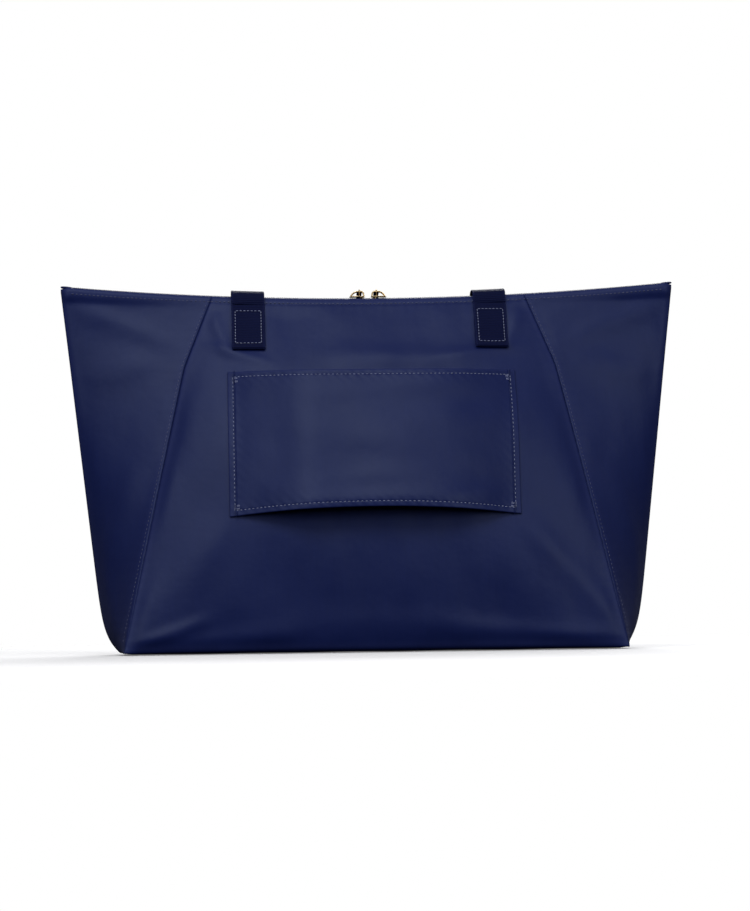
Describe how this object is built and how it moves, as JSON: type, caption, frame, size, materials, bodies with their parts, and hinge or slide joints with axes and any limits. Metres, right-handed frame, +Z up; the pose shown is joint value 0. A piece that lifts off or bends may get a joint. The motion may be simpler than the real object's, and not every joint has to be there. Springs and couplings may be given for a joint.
{
  "type": "foldable tote bag",
  "caption": "Foldable nylon tote with sloping side gussets, a zipped top, a luggage sleeve on the back, two webbing handles and an inner stow pouch.",
  "frame": {"origin": "middle of the underside of the base, on the surface that the bag stands on", "axes": "+X along the width, to the right for someone looking at the luggage sleeve; -Y towards the side with the luggage sleeve; +Z up to the zip"},
  "size_m": [0.533, 0.1977, 0.3195],
  "materials": {
    "nylon": "smooth satin navy nylon",
    "webbing": "ribbed navy nylon webbing",
    "zip_tape": "knitted polyester tape",
    "zip_coil": "moulded nylon coil",
    "gold_metal": "pale gold plated, polished"
  },
  "bodies": {
    "shell": {"base_panel": "nylon", "left_gusset_back": "nylon", "left_gusset_front": "nylon", "right_gusset_back": "nylon", "right_gusset_front": "nylon", "back_zip_tape": "zip_tape", "front_zip_tape": "zip_tape", "back_zip_coil": "zip_coil", "front_zip_coil": "zip_coil", "left_zip_end": "nylon", "right_zip_end": "nylon"},
    "back_side": {"back_panel": "nylon", "luggage_sleeve": "nylon", "back_left_handle_tab": "webbing", "back_right_handle_tab": "webbing", "stow_pouch": "nylon", "stow_zip_tape": "zip_tape", "stow_zip_coil": "zip_coil"},
    "front_side": {"front_panel": "nylon", "front_left_handle_tab": "webbing", "front_right_handle_tab": "webbing"},
    "back_handle_bends": {"back_left_handle_bend": "webbing", "back_right_handle_bend": "webbing"},
    "back_handle": {"back_handle_loop": "webbing"},
    "front_handle_bends": {"front_left_handle_bend": "webbing", "front_right_handle_bend": "webbing"},
    "front_handle": {"front_handle_loop": "webbing"},
    "left_slider": {"left_zip_slider": "gold_metal"},
    "left_pull": {"left_zip_pull": "webbing"},
    "right_slider": {"right_zip_slider": "gold_metal"},
    "right_pull": {"right_zip_pull": "webbing"},
    "stow_slider": {"stow_zip_slider": "gold_metal"},
    "stow_ring": {"stow_zip_ring": "gold_metal"}
  },
  "joints": [
    {"name": "back_flatten", "type": "hinge", "parent": "shell", "child": "back_side", "pos_m": [0, -0.007, 0.305], "axis": [1, 0, 0], "range_deg": [0, 12], "deforming": ["base_panel", "left_gusset_back", "left_gusset_front", "right_gusset_back", "right_gusset_front"]},
    {"name": "front_flatten", "type": "hinge", "parent": "shell", "child": "front_side", "pos_m": [0, 0.007, 0.305], "axis": [1, 0, 0], "range_deg": [-12, 0]},
    {"name": "handles_lift", "type": "hinge", "parent": "front_side", "child": "back_handle_bends", "pos_m": [0, -0.013, 0.3008], "axis": [1, 0, 0], "range_deg": [0, 90], "deforming": ["back_left_handle_bend", "back_right_handle_bend", "front_left_handle_bend", "front_right_handle_bend"]},
    {"name": "back_handle_swing", "type": "hinge", "parent": "back_handle_bends", "child": "back_handle", "pos_m": [0, 0.0198, 0.305], "axis": [1, 0, 0], "range_deg": [0, 76]},
    {"name": "front_handle_lift", "type": "hinge", "parent": "front_side", "child": "front_handle_bends", "pos_m": [0, 0.013, 0.3008], "axis": [1, 0, 0], "range_deg": [0, 90]},
    {"name": "front_handle_swing", "type": "hinge", "parent": "front_handle_bends", "child": "front_handle", "pos_m": [0, 0.0174, 0.3043], "axis": [1, 0, 0], "range_deg": [0, 76]},
    {"name": "left_slider_travel", "type": "hinge", "parent": "shell", "child": "left_slider", "pos_m": [0, 0, 3.206], "axis": [0, 1, 0], "range_deg": [0, 4.52]},
    {"name": "right_slider_travel", "type": "hinge", "parent": "shell", "child": "right_slider", "pos_m": [0, 0, 3.206], "axis": [0, 1, 0], "range_deg": [-4.52, 0]},
    {"name": "left_pull_swing", "type": "hinge", "parent": "left_slider", "child": "left_pull", "pos_m": [-0.0074, 0, 0.3116], "axis": [1, 0, 0], "range_deg": [0, 150]},
    {"name": "right_pull_swing", "type": "hinge", "parent": "right_slider", "child": "right_pull", "pos_m": [0.0074, 0, 0.3116], "axis": [1, 0, 0], "range_deg": [0, 150]},
    {"name": "stow_slider_travel", "type": "slide", "parent": "back_side", "child": "stow_slider", "axis": [1, 0, 0], "range_m": [0, 0.12]},
    {"name": "stow_ring_swing", "type": "hinge", "parent": "stow_slider", "child": "stow_ring", "pos_m": [-0.06, -0.02455, 0.24669], "axis": [1, 0, 0], "range_deg": [-15, 90]}
  ],
  "couplings": [
    {"joint": "front_flatten", "follows": "back_flatten", "ratio": -1},
    {"joint": "back_handle_swing", "follows": "handles_lift", "ratio": 0.844},
    {"joint": "front_handle_lift", "follows": "handles_lift", "ratio": 1},
    {"joint": "front_handle_swing", "follows": "handles_lift", "ratio": 0.844}
  ]
}
